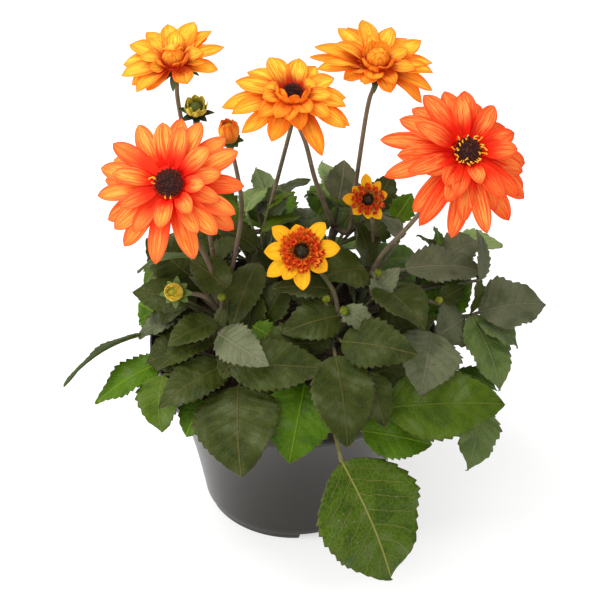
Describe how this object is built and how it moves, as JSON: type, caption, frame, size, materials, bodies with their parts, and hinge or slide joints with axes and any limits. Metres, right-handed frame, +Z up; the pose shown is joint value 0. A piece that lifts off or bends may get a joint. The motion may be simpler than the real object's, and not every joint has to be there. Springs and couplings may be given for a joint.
{
  "type": "potted dahlia",
  "caption": "Flowering garden dahlia in a round nursery pot: coral and amber blooms, buds and serrated leaves on upright stems in soil.",
  "frame": {"origin": "middle of the pot's flat underside, on the surface that it stands on", "axes": "+Z up along the pot's axis, -Y towards the viewer of the picture, +X to the viewer's right"},
  "size_m": [0.3107, 0.2906, 0.321],
  "materials": {
    "pot_plastic": "satin dark charcoal moulded plastic",
    "soil": null,
    "foliage": "dull green leaf and stem tissue, darker on young leaves",
    "coral_petals": "soft matt petal, coral orange with a red base",
    "amber_petals": "soft matt petal, yellow orange with coral streaks",
    "yellow_petals": "soft matt petal, golden yellow",
    "orange_florets": "matt orange red tube florets",
    "bud_green_petals": "matt yellow green young florets",
    "disc": "matt dark maroon disc of packed florets with yellow outer florets"
  },
  "bodies": {
    "root": {"pot": "pot_plastic", "soil": "soil", "leafy_stem_left": "foliage", "leafy_stem_front": "foliage", "leafy_stem_right": "foliage", "basal_shoot_left": "foliage", "basal_shoot_right": "foliage", "leafy_stem_back_left": "foliage", "leafy_stem_back_right": "foliage", "bloom_left_petals": "coral_petals", "bloom_left_disc": "disc", "bloom_right_petals": "coral_petals", "bloom_right_disc": "disc", "bloom_centre_petals": "amber_petals", "bloom_centre_disc": "disc", "bloom_top_left_petals": "amber_petals", "bloom_top_left_disc": "disc", "bloom_top_right_petals": "amber_petals", "bloom_top_right_disc": "disc", "small_bloom_front_rays": "yellow_petals", "small_bloom_front_florets": "orange_florets", "small_bloom_front_disc": "disc", "small_bloom_back_rays": "yellow_petals", "small_bloom_back_florets": "orange_florets", "small_bloom_back_disc": "disc", "bud_half_open_petals": "bud_green_petals", "bud_orange_petals": "coral_petals", "bud_yellow_petals": "yellow_petals"}
  },
  "joints": []
}
